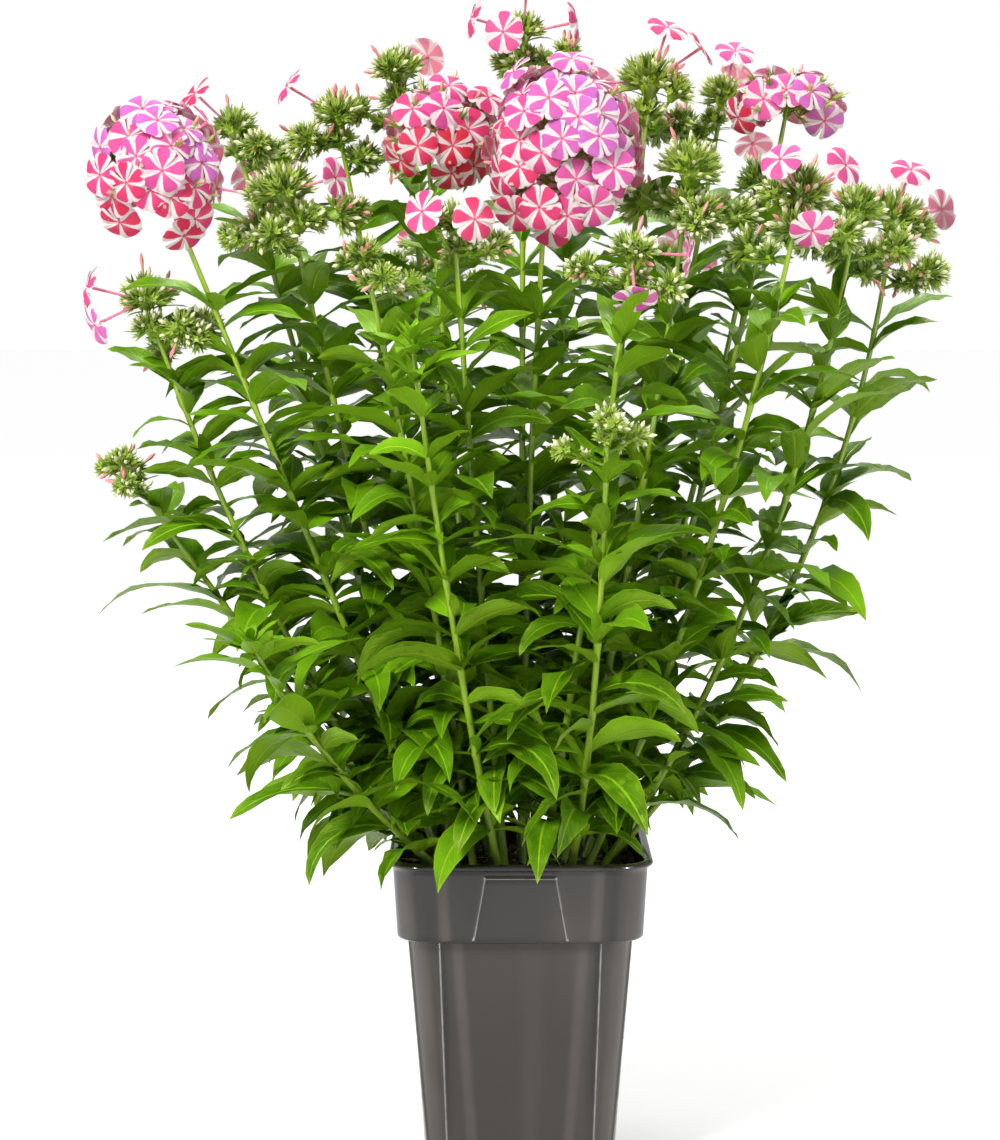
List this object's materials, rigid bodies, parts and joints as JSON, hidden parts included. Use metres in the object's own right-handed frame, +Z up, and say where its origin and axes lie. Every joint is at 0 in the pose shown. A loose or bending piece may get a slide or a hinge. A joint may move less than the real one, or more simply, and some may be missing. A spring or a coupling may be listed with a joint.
{
  "type": "potted phlox plant",
  "caption": "Garden phlox in a square tapered nursery pot: upright leafy stems with opposite lance-shaped leaves, bud clusters and domed heads of rose-pink flowers.",
  "frame": {"origin": "the middle of the flat base of the pot, which rests on the ground", "axes": "+Z is up along the plant's height; -Y is the front that the picture shows; +X is the picture's right"},
  "size_m": [0.5219, 0.4576, 0.7227],
  "materials": {
    "pot": "dark taupe-grey thin glossy moulded plastic",
    "soil": "rough dark brown potting soil",
    "leaf": "satin mid-green leaves on yellow-green stems",
    "petal": "soft matte rose-pink petals"
  },
  "bodies": {
    "root": {"pot": "pot", "soil": "soil", "stem_low_left": "leaf", "stem_left": "leaf", "stem_left_back": "leaf", "stem_left_middle": "leaf", "stem_left_inner": "leaf", "stem_front_left": "leaf", "stem_back_left": "leaf", "stem_inner_left": "leaf", "stem_centre_front": "leaf", "stem_centre": "leaf", "stem_top_centre": "leaf", "stem_right_inner": "leaf", "stem_right_middle": "leaf", "stem_front_right": "leaf", "stem_right_back": "leaf", "stem_right": "leaf", "stem_right_front": "leaf", "stem_right_low": "leaf", "stem_right_outer": "leaf", "stem_nodding": "leaf", "stem_front_tip": "leaf", "stem_low_tip": "leaf", "stem_side_left": "leaf", "stem_back": "leaf", "stem_back_right": "leaf", "stem_left_rear": "leaf", "stem_rear_left": "leaf", "stem_rear_right": "leaf", "bloom_left": "petal", "bloom_main": "petal", "bloom_inner": "petal", "bloom_right": "petal", "bloom_back": "petal"}
  },
  "joints": []
}
